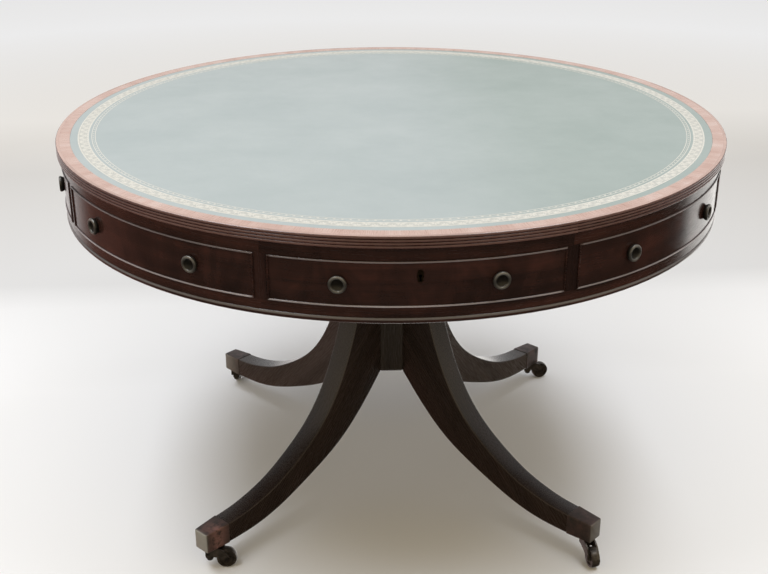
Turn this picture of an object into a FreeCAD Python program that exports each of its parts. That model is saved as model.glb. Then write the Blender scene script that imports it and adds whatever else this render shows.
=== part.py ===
import FreeCAD, Part
import math
import os

from FreeCAD import Vector

os.makedirs("parts", exist_ok=True)

# A round drum table in mahogany: a revolving top with four drawers and four dummy fronts
# round its frieze, on a column with four sabre legs, brass toe caps and castors.
# Millimetres. The origin is on the floor under the middle, +Z is up, the front drawer faces -Y.

# Top: a round board with a reeded lipping, a crossbanded border and a leather inset
top_diameter = 1220.0
overall_height = 750.0
edge_thickness = 19.0
reed_count = 4
lipping_width = 16.0
lipping_land = 4.0
crossband_width = 25.0
inset_depth = 1.5

# Frieze: the drum under the top, from the upper rail down to the astragal
frieze_setback = 7.5
upper_rail_height = 21.0
upper_rail_width = 350.0
drawer_opening_height = 73.0
base_board_thickness = 20.0
astragal_height = 11.0
astragal_drop = 6.5
astragal_width = 19.0
astragal_projection = 1.5

# Fronts and partitions: eight equal fronts, every second one a drawer
front_count = 8
front_thickness = 22.0
partition_thickness = 18.5
partition_corner_gap = 2.0

# Drawer boxes
drawer_side_clearance = 0.6
drawer_floor_clearance = 0.3
drawer_top_clearance = 0.6
drawer_back_space = 10.0
drawer_side_thickness = 10.0
drawer_side_height = 56.0
drawer_back_thickness = 8.0
drawer_back_drop = 6.0
drawer_bottom_thickness = 6.0
drawer_bottom_rise = 5.0
drawer_groove_depth = 4.0
tail_count = 3
tail_length = 11.0
tail_root_width = 9.0
tail_tip_width = 13.0

# Cockbeads: thin strips let into the edges of every front
bead_thickness = 3.0
bead_depth = 8.0
bead_projection = 2.0
bead_nose_chamfer = 0.9

# Knobs: turned and low, with a round rim about a dished face
knob_angle_deg = 11.3
knob_diameter = 28.0
knob_projection = 11.0
knob_rim_thickness = 5.0
knob_dish_depth = 5.5
knob_neck_diameter = 14.0
knob_foot_diameter = 19.0
knob_foot_thickness = 1.5
knob_spigot_diameter = 9.0
knob_spigot_length = 15.0

# Locks: a case let into the back of each drawer front, with a brass keyhole liner
lock_width = 60.0
lock_height = 34.0
lock_depth = 12.0
lock_recess = 7.5
lock_top_margin = 4.0
keyhole_drop = 23.5
escutcheon_width = 9.0
escutcheon_height = 20.0
escutcheon_projection = 0.6
keyhole_diameter = 5.0
key_slot_width = 2.4
key_slot_length = 8.0
key_depth = 9.0

# Bearing: the drum turns on a platform round an iron spindle, held down by a flanged nut
platform_diameter = 330.0
platform_thickness = 26.0
platform_edge_radius = 9.0
bearing_gap = 0.3
spindle_diameter = 32.0
spindle_embed = 150.0
spindle_tail = 4.0
centre_block_width = 190.0
centre_block_height = 53.0
centre_block_chamfer = 40.0
nut_flange_diameter = 70.0
nut_flange_thickness = 6.0
nut_width = 50.0
nut_height = 16.0

# Column: an eight-sided shaft under a turned neck, standing with its legs a little turned from the drum
pedestal_turn_deg = -1.2
column_across_flats = 113.0
column_flat_width = 42.0
column_shaft_margin = 12.0
column_foot_chamfer = 3.0
neck_height = 73.7
neck_collar_height = 16.0
neck_collar_diameter = 128.0
neck_waist_diameter = 88.0
neck_top_diameter = 150.0
neck_lip_height = 10.0

# Legs: sabre legs dovetailed into the column on its diagonals
leg_root_height = 263.0
leg_root_width = 46.0
leg_toe_radius = 461.0
leg_toe_width = 38.0
leg_toe_height = 40.0
tongue_depth = 14.0
tongue_neck_width = 18.0
tongue_back_width = 24.0
tongue_height = 225.0

# Toe caps: square brass sockets over the ends of the legs
cap_length = 51.0
cap_wall = 2.2
cap_proud = 1.0
cap_end_width = 33.0
cap_end_height = 39.0
cap_end_wall = 2.5

# Castors: a pin riveted through the toe cap, a horned fork and a brass wheel that trails; a heading
# is the way a wheel trails from its pin, from +X round towards +Y
wheel_diameter = 38.0
wheel_width = 15.0
wheel_crown = 1.2
wheel_hub_diameter = 15.0
wheel_dish_depth = 2.0
wheel_flange_width = 4.0
castor_headroom = 6.0
castor_trail = 31.0
pivot_setback = 18.0
pivot_diameter = 8.0
pivot_head_diameter = 12.0
pivot_head_height = 4.0
boss_diameter = 16.0
boss_foot_rise = 21.0
fork_arm_thickness = 3.0
fork_arm_gap = 0.5
fork_eye_diameter = 13.0
fork_yoke_length = 15.0
fork_yoke_height = 15.0
axle_diameter = 6.0
axle_head_diameter = 9.0
axle_head_thickness = 1.2
front_left_heading_deg = 2.0
front_right_heading_deg = -80.0
back_right_heading_deg = 14.0
back_left_heading_deg = 84.0

# Fits: running_clearance is radial, between a pin and its hole; cut_overrun takes a cut past its face
running_clearance = 0.05
glue_clearance = 0.05
cut_overrun = 10.0

# Levels and radii that follow from the sizes above
top_radius = top_diameter / 2
frieze_radius = top_radius - frieze_setback
front_inner_radius = frieze_radius - front_thickness
lipping_inner_radius = top_radius - lipping_width
leather_radius = top_radius - crossband_width
z_top = overall_height
z_inset = z_top - inset_depth
z_edge_bottom = z_top - edge_thickness
z_opening_top = z_edge_bottom - upper_rail_height
z_opening_bottom = z_opening_top - drawer_opening_height
z_board_bottom = z_opening_bottom - base_board_thickness
z_astragal_bottom = z_board_bottom - astragal_drop
z_astragal_top = z_astragal_bottom + astragal_height
z_platform_top = z_board_bottom - bearing_gap
z_platform_bottom = z_platform_top - platform_thickness
z_block_top = z_opening_bottom + centre_block_height
z_cap_bottom = wheel_diameter + castor_headroom
z_toe_bottom = z_cap_bottom + cap_proud
spindle_radius = spindle_diameter / 2

front_pitch_deg = 360.0 / front_count
half_pitch = math.radians(front_pitch_deg / 2)
opening_half_width = frieze_radius * math.sin(half_pitch) - partition_thickness / 2
partition_outer_face = opening_half_width + partition_thickness
drawer_half_width = opening_half_width - drawer_side_clearance
drawer_back_reach = opening_half_width + drawer_back_space
z_drawer_bottom = z_opening_bottom + drawer_floor_clearance
z_front_top = z_opening_top - drawer_top_clearance

z_shaft_top = z_platform_bottom - neck_height
leg_root_top = z_shaft_top - column_shaft_margin
leg_root_bottom = leg_root_top - leg_root_height
column_bottom = leg_root_bottom
column_half = column_across_flats / 2
column_flat_half = column_flat_width / 2
leg_root_radius = (column_half + column_flat_half) / math.sqrt(2)
cap_end_radius = leg_toe_radius + cap_length
pivot_radius = cap_end_radius - pivot_setback

sides = ("front", "right", "back", "left")
corners = ("front_right", "back_right", "back_left", "front_left")
leg_pitch_deg = 360.0 / len(corners)
drawer_turns_deg = {side: 2 * index * front_pitch_deg for index, side in enumerate(sides)}
dummy_turns_deg = {corner: (2 * index + 1) * front_pitch_deg for index, corner in enumerate(corners)}
first_leg_deg = pedestal_turn_deg - leg_pitch_deg / 2
leg_turns_deg = {corner: first_leg_deg + index * leg_pitch_deg for index, corner in enumerate(corners)}
castor_headings_deg = {"front_left": front_left_heading_deg, "front_right": front_right_heading_deg,
                       "back_right": back_right_heading_deg, "back_left": back_left_heading_deg}
up = Vector(0, 0, 1)


def box(x0, x1, y0, y1, z0, z1):
    return Part.makeBox(x1 - x0, y1 - y0, z1 - z0, Vector(x0, y0, z0))


def cylinder(radius, z0, z1):
    return Part.makeCylinder(radius, z1 - z0, Vector(0, 0, z0))


def ring(inner_radius, outer_radius, z0, z1):
    hole = cylinder(inner_radius, z0 - cut_overrun, z1 + cut_overrun)
    return cylinder(outer_radius, z0, z1).cut(hole)


def outline(start, *steps):
    """A closed face in the XZ plane: a step is a point, or a middle point and an end of an arc."""
    place = lambda point: Vector(point[0], 0, point[1])
    edges = []
    here = start
    for step in steps + (start,):
        if isinstance(step[0], tuple):
            middle, end = step
            edges.append(Part.Arc(place(here), place(middle), place(end)).toShape())
        else:
            end = step
            edges.append(Part.makeLine(place(here), place(end)))
        here = end
    return Part.Face(Part.Wire(edges))


def revolved(face):
    return face.revolve(Vector(0, 0, 0), up, 360)


def turned(shape, degrees):
    copy = shape.copy()
    copy.rotate(Vector(0, 0, 0), up, degrees)
    return copy


def save(node, *solids):
    shape = solids[0] if len(solids) == 1 else Part.makeCompound(list(solids))
    shape.exportStep("parts/" + node + ".step")


# Top board, leather inset, crossbanded border and reeded lipping
def reeded_lipping():
    reed_height = edge_thickness / reed_count
    reed_radius = reed_height / 2
    reed_centre = top_radius - reed_radius
    land_radius = top_radius - lipping_land - reed_radius
    steps = [(lipping_inner_radius, z_inset), (land_radius, z_inset)]
    steps += [(land_radius, z_top), (reed_centre, z_top)]
    for reed in range(reed_count):
        reed_top = z_top - reed * reed_height
        steps.append(((top_radius, reed_top - reed_radius), (reed_centre, reed_top - reed_height)))
    return revolved(outline((lipping_inner_radius, z_edge_bottom), *steps)), land_radius


lipping, crossband_outer_radius = reeded_lipping()
save("reeded_edge", lipping)
save("top_board", cylinder(lipping_inner_radius, z_edge_bottom, z_inset))
save("leather_inset", cylinder(leather_radius, z_inset, z_top))
save("crossband_border", ring(leather_radius, crossband_outer_radius, z_inset, z_top))

# Upper rail: a wide ring that carries the top and keeps open drawers from tipping
save("upper_rail_ring", ring(frieze_radius - upper_rail_width, frieze_radius, z_opening_top, z_edge_bottom))


# Base board with its spindle hole, and the astragal in a rebate round its lower edge
def base_board():
    board = cylinder(frieze_radius, z_board_bottom, z_opening_bottom)
    rebate = ring(frieze_radius + astragal_projection - astragal_width, frieze_radius + cut_overrun,
                  z_board_bottom - cut_overrun, z_astragal_top)
    bore_radius = spindle_radius + running_clearance
    bore = cylinder(bore_radius, z_board_bottom - cut_overrun, z_opening_bottom + cut_overrun)
    return board.cut(rebate).cut(bore)


def astragal():
    outer = frieze_radius + astragal_projection
    inner = outer - astragal_width
    nose_radius = astragal_height / 2
    nose_centre = outer - nose_radius
    z_middle = z_astragal_bottom + nose_radius
    nose = ((outer, z_middle), (nose_centre, z_astragal_top))
    return revolved(outline((inner, z_astragal_bottom), (nose_centre, z_astragal_bottom), nose,
                            (inner, z_astragal_top)))


save("base_board", base_board())
save("lower_astragal", astragal())


# Partitions: two beside each drawer, whose outer ends show as the stiles between the fronts
def partition():
    board = box(opening_half_width, partition_outer_face, -top_radius,
                -(partition_outer_face + partition_corner_gap), z_opening_bottom, z_opening_top)
    return board.common(cylinder(frieze_radius, z_opening_bottom, z_opening_top))


right_partition = partition()
left_partition = right_partition.mirror(Vector(0, 0, 0), Vector(1, 0, 0))
partitions = []
for degrees in drawer_turns_deg.values():
    partitions.append(turned(right_partition, degrees))
    partitions.append(turned(left_partition, degrees))
save("drawer_partitions", *partitions)


# Fronts: a curved panel with a rebate round its face for the cockbeads
def curved_front(clip, z0, z1):
    """clip(inset, low, high) is the space between the ends of the front, drawn in by inset."""
    back = ring(front_inner_radius, frieze_radius - bead_depth, z0, z1).common(clip(0, z0, z1))
    low = z0 + bead_thickness
    high = z1 - bead_thickness
    face = ring(frieze_radius - bead_depth, frieze_radius, low, high).common(clip(bead_thickness, low, high))
    return back.fuse(face).removeSplitter()


def cockbeads(clip, z0, z1):
    """The two long strips with softened noses, and the two upright strips between them."""
    inner = frieze_radius - bead_depth
    outer = frieze_radius + bead_projection
    shoulder = outer - bead_nose_chamfer
    strips = []
    for low in (z0, z1 - bead_thickness):
        high = low + bead_thickness
        section = outline((inner, low), (shoulder, low), (outer, low + bead_nose_chamfer),
                          (outer, high - bead_nose_chamfer), (shoulder, high), (inner, high))
        section.rotate(Vector(0, 0, 0), up, -90 - front_pitch_deg / 2)
        arc = section.revolve(Vector(0, 0, 0), up, front_pitch_deg)
        strips.append(arc.common(clip(0, low, high)))
    low = z0 + bead_thickness
    high = z1 - bead_thickness
    uprights = ring(inner, outer, low, high).common(clip(0, low, high)).cut(clip(bead_thickness, low, high))
    return strips + uprights.Solids


def drawer_clip(inset, low, high):
    half = drawer_half_width - inset
    return box(-half, half, -(top_radius + cut_overrun), -drawer_back_reach, low, high)


def dummy_clip(inset, low, high):
    edge = partition_outer_face + inset
    corner = box(edge, top_radius + cut_overrun, -(top_radius + cut_overrun), -edge, low, high)
    return turned(corner, -front_pitch_deg)


# Knobs: the axis is radial, so each is turned upright and laid over on the frieze
def knob():
    outer_radius = knob_diameter / 2
    rim_radius = knob_rim_thickness / 2
    rim_centre = outer_radius - rim_radius
    rim_level = knob_projection - rim_radius
    rim_back = knob_projection - knob_rim_thickness
    lip_radius = rim_centre - rim_radius
    lip_turn = rim_radius * math.sqrt(0.5)
    neck_radius = knob_neck_diameter / 2
    foot_radius = knob_foot_diameter / 2
    spigot_radius = knob_spigot_diameter / 2
    neck_level = 2 * knob_foot_thickness
    dish_floor = knob_projection - knob_dish_depth
    dish_sag = rim_level - dish_floor
    dish_radius = (lip_radius ** 2 + dish_sag ** 2) / (2 * dish_sag)
    dish_middle = dish_floor + dish_radius - math.sqrt(dish_radius ** 2 - (lip_radius / 2) ** 2)
    flare = (((2 * neck_radius + rim_centre) / 3, (neck_level + 2 * rim_back) / 3), (rim_centre, rim_back))
    rim = ((outer_radius, rim_level), (rim_centre, knob_projection))
    lip = ((rim_centre - lip_turn, rim_level + lip_turn), (lip_radius, rim_level))
    dish = ((lip_radius / 2, dish_middle), (0, dish_floor))
    return revolved(outline(
        (0, -knob_spigot_length), (spigot_radius, -knob_spigot_length), (spigot_radius, 0), (foot_radius, 0),
        (foot_radius, knob_foot_thickness), (neck_radius, neck_level), flare, rim, lip, dish))


def knob_placed(shape, degrees):
    copy = shape.copy()
    copy.rotate(Vector(0, 0, 0), Vector(1, 0, 0), 90)
    copy.translate(Vector(0, -frieze_radius, (z_opening_top + z_opening_bottom) / 2))
    return turned(copy, degrees)


def knob_pair(shape, degrees):
    return [knob_placed(shape, degrees - knob_angle_deg), knob_placed(shape, degrees + knob_angle_deg)]


knob_solid = knob()
knob_hole_depth = knob_spigot_length + glue_clearance
knob_hole = cylinder(knob_spigot_diameter / 2 + glue_clearance, -knob_hole_depth, cut_overrun)

# Dummy fronts: fixed between the partitions, from the base board to the upper rail
dummy_panel = curved_front(dummy_clip, z_opening_bottom, z_opening_top)
dummy_panel = dummy_panel.cut(Part.makeCompound(knob_pair(knob_hole, 0)))
dummy_solids = [dummy_panel] + cockbeads(dummy_clip, z_opening_bottom, z_opening_top)
dummy_knobs = []
for place, degrees in dummy_turns_deg.items():
    save("dummy_front_" + place, *[turned(solid, degrees) for solid in dummy_solids])
    dummy_knobs.extend(knob_pair(knob_solid, degrees))
save("dummy_knobs", *dummy_knobs)


# Lock case and keyhole liner: both lie on the drawer's middle line
def upright_slot(width, height, z_middle, y0, y1):
    radius = width / 2
    straight = height / 2 - radius
    slot = box(-radius, radius, y0, y1, z_middle - straight, z_middle + straight)
    for z in (z_middle - straight, z_middle + straight):
        slot = slot.fuse(Part.makeCylinder(radius, y1 - y0, Vector(0, y0, z), Vector(0, 1, 0)))
    return slot.removeSplitter()


z_keyhole = z_opening_top - keyhole_drop
y_lock_face = -(front_inner_radius + lock_recess)
z_lock_top = z_front_top - lock_top_margin
lock_space = box(-lock_width / 2, lock_width / 2, y_lock_face, y_lock_face + lock_depth,
                 z_lock_top - lock_height, z_lock_top)
y_liner_face = -(frieze_radius + escutcheon_projection)
liner_space = upright_slot(escutcheon_width, escutcheon_height, z_keyhole, y_liner_face, y_lock_face)
y_key_end = y_lock_face + key_depth
keyway = Part.makeCylinder(keyhole_diameter / 2, y_key_end - y_liner_face,
                           Vector(0, y_liner_face, z_keyhole), Vector(0, 1, 0))
keyway = keyway.fuse(box(-key_slot_width / 2, key_slot_width / 2, y_liner_face, y_key_end,
                         z_keyhole - key_slot_length, z_keyhole))
lock_case = lock_space.cut(keyway)
keyhole_liner = liner_space.cut(keyway)


# Drawer boxes: two sides with half-blind dovetails into the front, and a back standing on a
# bottom panel held in grooves
def side_tails(x0, x1, z0, z1):
    """Tails that widen towards the front, spread evenly from z0 to z1 and cut off short of its face."""
    tip_radius = front_inner_radius + tail_length
    y_root = cut_overrun - math.sqrt(front_inner_radius ** 2 - x1 ** 2)
    y_tip = -math.sqrt(tip_radius ** 2 - x0 ** 2)
    root = tail_root_width / 2
    tip = tail_tip_width / 2
    pitch = (z1 - z0) / tail_count
    tails = []
    for tail in range(tail_count):
        z = z0 + (tail + 0.5) * pitch
        points = [Vector(x0, y_root, z - root), Vector(x0, y_root, z + root), Vector(x0, y_tip, z + tip),
                  Vector(x0, y_tip, z - tip)]
        tails.append(Part.Face(Part.makePolygon(points + points[:1])).extrude(Vector(x1 - x0, 0, 0)))
    return Part.makeCompound(tails).common(cylinder(tip_radius, z0, z1)).Solids


def drawer_box():
    side_inner = drawer_half_width - drawer_side_thickness
    z_side_top = z_drawer_bottom + drawer_side_height
    z_panel = z_drawer_bottom + drawer_bottom_rise
    z_panel_top = z_panel + drawer_bottom_thickness
    inside_front = cylinder(front_inner_radius, z_drawer_bottom, z_side_top)
    groove_front = cylinder(front_inner_radius + drawer_groove_depth, z_panel, z_panel_top)
    panel_half = side_inner + drawer_groove_depth
    panel = box(-panel_half, panel_half, -top_radius, -drawer_back_reach, z_panel, z_panel_top)
    panel = panel.common(groove_front)
    right = box(side_inner, drawer_half_width, -top_radius, -drawer_back_reach, z_drawer_bottom, z_side_top)
    tails = side_tails(side_inner, drawer_half_width, z_drawer_bottom, z_side_top)
    right = right.common(inside_front).fuse(tails).removeSplitter().cut(panel)
    left = right.mirror(Vector(0, 0, 0), Vector(1, 0, 0))
    back = box(-side_inner, side_inner, -(drawer_back_reach + drawer_back_thickness), -drawer_back_reach,
               z_panel_top, z_side_top - drawer_back_drop)
    return [left, right, back, panel]


box_solids = drawer_box()
drawer_panel = curved_front(drawer_clip, z_drawer_bottom, z_front_top)
drawer_panel = drawer_panel.cut(Part.makeCompound(knob_pair(knob_hole, 0) + [lock_space]))
for solid in box_solids:
    drawer_panel = drawer_panel.cut(solid)
drawer_panel = drawer_panel.cut(liner_space)
drawer_strips = cockbeads(drawer_clip, z_drawer_bottom, z_front_top)
for place, degrees in drawer_turns_deg.items():
    node = "drawer_" + place + "_"
    save(node + "panel", turned(drawer_panel, degrees))
    save(node + "box", *[turned(solid, degrees) for solid in box_solids])
    save(node + "cockbeads", *[turned(strip, degrees) for strip in drawer_strips])
    save(node + "knobs", *knob_pair(knob_solid, degrees))
    save(node + "lock", turned(lock_case, degrees), turned(keyhole_liner, degrees))


# Bearing: the platform on the column, the spindle in it, the centre block and the nut above
def eight_sided(half_width, flat_half, z0, z1):
    half_round = [(flat_half, -half_width), (half_width, -flat_half), (half_width, flat_half),
                  (flat_half, half_width)]
    other_half = [(-x, -y) for x, y in half_round]
    points = [Vector(x, y, z0) for x, y in half_round + other_half]
    return Part.Face(Part.makePolygon(points + points[:1])).extrude(Vector(0, 0, z1 - z0))


spindle_bore = cylinder(spindle_radius + running_clearance, z_platform_bottom - spindle_embed, z_top)
z_flange = z_block_top + bearing_gap
z_nut_top = z_flange + nut_flange_thickness + nut_height
platform = Part.makeCylinder(platform_diameter / 2, platform_thickness, Vector(0, 0, z_platform_bottom))
platform = platform.makeFillet(platform_edge_radius, [edge for edge in platform.Edges if edge.isClosed()])
save("bearing_platform", platform.cut(spindle_bore))
save("pivot_spindle", cylinder(spindle_radius, z_platform_bottom - spindle_embed, z_nut_top + spindle_tail))
centre_block_half = centre_block_width / 2
centre_block_flat = centre_block_half - centre_block_chamfer
centre_block = eight_sided(centre_block_half, centre_block_flat, z_opening_bottom, z_block_top)
save("centre_block", centre_block.cut(spindle_bore))
nut_side = nut_width / 2
nut = eight_sided(nut_side, nut_side * math.tan(math.pi / 8), z_flange + nut_flange_thickness, z_nut_top)
nut = nut.fuse(cylinder(nut_flange_diameter / 2, z_flange, z_flange + nut_flange_thickness))
save("retaining_nut", nut.cut(spindle_bore).removeSplitter())


# Column: the shaft, its dovetail sockets and the turned neck up to the platform
def dovetail(depth, z0, z1):
    root = leg_root_radius
    neck = tongue_neck_width / 2
    back = tongue_back_width / 2
    points = [(root, -neck), (root, neck), (root - depth, back), (root - depth, -back)]
    corners = [Vector(x, y, z0) for x, y in points]
    return Part.Face(Part.makePolygon(corners + corners[:1])).extrude(Vector(0, 0, z1 - z0))


def column():
    z_collar_top = z_shaft_top + neck_collar_height
    z_lip = z_platform_bottom - neck_lip_height
    shaft = turned(eight_sided(column_half, column_flat_half, column_bottom, z_shaft_top), pedestal_turn_deg)
    foot = [edge for edge in shaft.Edges if max(v.Z for v in edge.Vertexes) <= column_bottom]
    shaft = shaft.makeChamfer(column_foot_chamfer, foot)
    collar_radius = neck_collar_diameter / 2
    bead_radius = neck_collar_height / 2
    waist_radius = neck_waist_diameter / 2
    lip_radius = neck_top_diameter / 2
    bead = ((collar_radius, z_shaft_top + bead_radius), (collar_radius - bead_radius, z_collar_top))
    cove = ((waist_radius, (z_collar_top + z_lip) / 2), (lip_radius, z_lip))
    neck = revolved(outline((0, z_shaft_top), (collar_radius - bead_radius, z_shaft_top), bead, cove,
                            (lip_radius, z_platform_bottom), (0, z_platform_bottom)))
    solid = shaft.fuse(neck).removeSplitter().cut(spindle_bore)
    socket = dovetail(tongue_depth, column_bottom - cut_overrun, leg_root_bottom + tongue_height)
    return solid.cut(Part.makeCompound([turned(socket, degrees) for degrees in leg_turns_deg.values()]))


save("pedestal_column", column())

# Legs: the side outline is two smooth curves, as shares of the reach (root to toe) and of the rise
# from the toe to the root (its top for the back, its bottom for the belly); the sides taper evenly
leg_back_shares = [(0.044, 1.0), (0.086, 0.954), (0.111, 0.880), (0.135, 0.788), (0.187, 0.642),
                   (0.262, 0.487), (0.336, 0.382), (0.410, 0.308), (0.509, 0.238), (0.609, 0.183),
                   (0.708, 0.140), (0.807, 0.112), (0.906, 0.094)]
leg_belly_shares = [(0.071, 0.836), (0.180, 0.615), (0.289, 0.442), (0.420, 0.298), (0.542, 0.190),
                    (0.703, 0.070), (0.869, 0.008)]


def tapered_block(x0, x1, half_width0, half_width1, z_low, z_high0, z_high1):
    wires = []
    for x, half, z_high in ((x0, half_width0, z_high0), (x1, half_width1, z_high1)):
        points = [Vector(x, -half, z_low), Vector(x, half, z_low)]
        points += [Vector(x, half, z_high), Vector(x, -half, z_high)]
        wires.append(Part.makePolygon(points + points[:1]))
    return Part.makeLoft(wires, True, True)


def smooth(points):
    curve = Part.BSplineCurve()
    curve.interpolate(points)
    return curve.toShape()


def leg_points(shares, z_root):
    reach = leg_toe_radius - leg_root_radius
    rise = z_root - z_toe_bottom
    return [Vector(leg_root_radius + along * reach, 0, z_toe_bottom + rising * rise) for along, rising in shares]


def toe_space(wall, end_wall):
    """The toe cap's block, drawn in by the given walls."""
    root_half = leg_toe_width / 2 + cap_proud - wall
    end_half = cap_end_width / 2 - wall
    z_root_top = z_toe_bottom + leg_toe_height + cap_proud
    return tapered_block(leg_toe_radius, cap_end_radius - end_wall, root_half, end_half,
                         z_cap_bottom + wall, z_root_top - wall, z_cap_bottom + cap_end_height - wall)


def leg():
    root_low = Vector(leg_root_radius, 0, leg_root_bottom)
    root_high = Vector(leg_root_radius, 0, leg_root_top)
    toe_low = Vector(leg_toe_radius, 0, z_toe_bottom)
    toe_high = Vector(leg_toe_radius, 0, z_toe_bottom + leg_toe_height)
    back = leg_points(leg_back_shares, leg_root_top)
    belly = leg_points(leg_belly_shares, leg_root_bottom)
    edges = [smooth([root_low] + belly + [toe_low]), smooth(back + [toe_high])]
    edges += [Part.makeLine(toe_low, toe_high), Part.makeLine(back[0], root_high)]
    edges += [Part.makeLine(root_high, root_low)]
    side = Part.Face(Part.Wire(Part.__sortEdges__(edges)))
    side.translate(Vector(0, -leg_root_width / 2, 0))
    blank = side.extrude(Vector(0, leg_root_width, 0))
    taper = tapered_block(leg_root_radius, leg_toe_radius, leg_root_width / 2, leg_toe_width / 2,
                          z_toe_bottom - cut_overrun, leg_root_top + cut_overrun, leg_root_top + cut_overrun)
    tongue = dovetail(tongue_depth, leg_root_bottom, leg_root_bottom + tongue_height)
    return blank.common(taper).fuse([tongue, toe_space(cap_wall, cap_end_wall)]).removeSplitter()


def pivot_pin(extra):
    """The pin through the cap's floor, larger all round by extra."""
    return cylinder(pivot_diameter / 2 + extra, boss_foot_rise - pivot_head_height, z_cap_bottom + cap_wall)


def toe_cap():
    shell = toe_space(0, 0).cut(toe_space(cap_wall, cap_end_wall))
    hole = pivot_pin(0)
    hole.translate(Vector(pivot_radius, 0, 0))
    return shell.cut(hole)


# Castors: drawn with the pin on the Z axis and the wheel trailing along +X
def pivot():
    head_radius = pivot_head_diameter / 2
    z_head = boss_foot_rise - bearing_gap
    crown = ((head_radius, z_head - pivot_head_height / 2), (0, z_head - pivot_head_height))
    head = revolved(outline((0, z_head), (pivot_diameter / 2, z_head), crown))
    return pivot_pin(0).fuse(head).removeSplitter()


def fork():
    z_boss_top = z_cap_bottom - bearing_gap
    axle_rise = wheel_diameter / 2
    eye = fork_eye_diameter / 2
    arm_inner = wheel_width / 2 + fork_arm_gap
    arm_outer = arm_inner + fork_arm_thickness
    yoke_back = -fork_yoke_length / 2
    yoke_front = fork_yoke_length / 2
    yoke_low = z_boss_top - fork_yoke_height
    eye_far = castor_trail + eye
    eye_near = castor_trail - eye
    horn_top = ((castor_trail, (axle_rise + z_boss_top) / 2 + eye / 4), (eye_far, axle_rise))
    eye_round = ((castor_trail, axle_rise - eye), (eye_near, axle_rise))
    horn_belly = ((castor_trail / 2, (axle_rise + yoke_low) / 2), (yoke_back, yoke_low))
    horn = outline((yoke_back, z_boss_top), (yoke_front, z_boss_top), horn_top, eye_round, horn_belly)
    horn.translate(Vector(0, -arm_outer, 0))
    arms = horn.extrude(Vector(0, 2 * arm_outer, 0))
    wheel_room = box(yoke_front, eye_far + cut_overrun, -arm_inner, arm_inner, 0, z_boss_top + cut_overrun)
    boss = cylinder(boss_diameter / 2, boss_foot_rise, z_boss_top)
    bore = cylinder(pivot_diameter / 2 + running_clearance, 0, z_boss_top + cut_overrun)
    axle_hole = Part.makeCylinder(axle_diameter / 2 + glue_clearance, 2 * arm_outer,
                                  Vector(castor_trail, -arm_outer, axle_rise), Vector(0, 1, 0))
    return arms.cut(wheel_room).fuse(boss).removeSplitter().cut(bore).cut(axle_hole)


def on_axle(shape):
    """Lays a shape turned about Z on the axle."""
    copy = shape.copy()
    copy.rotate(Vector(0, 0, 0), Vector(1, 0, 0), 90)
    copy.translate(Vector(castor_trail, 0, wheel_diameter / 2))
    return copy


def axle():
    arm_outer = wheel_width / 2 + fork_arm_gap + fork_arm_thickness
    end = arm_outer + axle_head_thickness
    pin = cylinder(axle_diameter / 2, -end, end)
    heads = [cylinder(axle_head_diameter / 2, low, low + axle_head_thickness) for low in (-end, arm_outer)]
    return on_axle(pin.fuse(heads).removeSplitter())


def wheel():
    rim_radius = wheel_diameter / 2
    edge_radius = rim_radius - wheel_crown
    flange_radius = edge_radius - wheel_flange_width
    hub_radius = wheel_hub_diameter / 2
    bore_radius = axle_diameter / 2 + running_clearance
    half = wheel_width / 2
    web = half - wheel_dish_depth
    tread = ((rim_radius, 0), (edge_radius, half))
    return on_axle(revolved(outline(
        (bore_radius, -half), (hub_radius, -half), (hub_radius, -web), (flange_radius, -web),
        (flange_radius, -half), (edge_radius, -half), tread, (flange_radius, half), (flange_radius, web),
        (hub_radius, web), (hub_radius, half), (bore_radius, half))))


leg_solid = leg()
cap_solid = toe_cap()
castor_parts = {"castor_fork_": fork(), "castor_axle_": axle(), "castor_wheel_": wheel()}
pivots = []
for place, degrees in leg_turns_deg.items():
    save("leg_" + place, turned(leg_solid, degrees))
    save("toe_cap_" + place, turned(cap_solid, degrees))
    turn = math.radians(degrees)
    offset = Vector(pivot_radius * math.cos(turn), pivot_radius * math.sin(turn), 0)
    pin = pivot()
    pin.translate(offset)
    pivots.append(pin)
    for prefix, shape in castor_parts.items():
        placed = turned(shape, castor_headings_deg[place])
        placed.translate(offset)
        save(prefix + place, placed)
save("castor_pivots", *pivots)
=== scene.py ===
import math

import bmesh
import bpy
import numpy as np
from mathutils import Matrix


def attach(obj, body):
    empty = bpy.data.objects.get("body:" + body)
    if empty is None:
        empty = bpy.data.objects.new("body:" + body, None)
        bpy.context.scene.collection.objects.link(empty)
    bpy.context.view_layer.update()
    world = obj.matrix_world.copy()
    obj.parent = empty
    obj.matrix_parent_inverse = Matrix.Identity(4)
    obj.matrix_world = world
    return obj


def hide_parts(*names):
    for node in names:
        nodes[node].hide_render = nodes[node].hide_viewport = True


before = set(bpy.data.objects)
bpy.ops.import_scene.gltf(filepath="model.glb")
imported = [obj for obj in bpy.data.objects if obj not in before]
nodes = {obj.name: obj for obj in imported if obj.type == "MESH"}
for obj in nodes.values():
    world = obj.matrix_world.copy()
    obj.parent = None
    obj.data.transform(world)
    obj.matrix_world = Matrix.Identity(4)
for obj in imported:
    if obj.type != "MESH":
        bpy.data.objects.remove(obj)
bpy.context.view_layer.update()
scene = bpy.context.scene

# Studio: a pale floor, a long softbox above each side of the table, and a room with a warm front wall.
# Low down the room is dark in front, so that the polished fronts stay deep, and light behind. The polish
# mirrors the room and not the floor. The camera stands a little to the left of the front.
floor_reach = 120.0
floor_mesh = bpy.data.meshes.new("studio_floor")
floor_mesh.from_pydata([(-floor_reach, -floor_reach, 0), (floor_reach, -floor_reach, 0),
                        (floor_reach, floor_reach, 0), (-floor_reach, floor_reach, 0)], [], [(0, 1, 2, 3)])
floor = bpy.data.objects.new("studio_floor", floor_mesh)
floor.visible_glossy = False
scene.collection.objects.link(floor)


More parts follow.
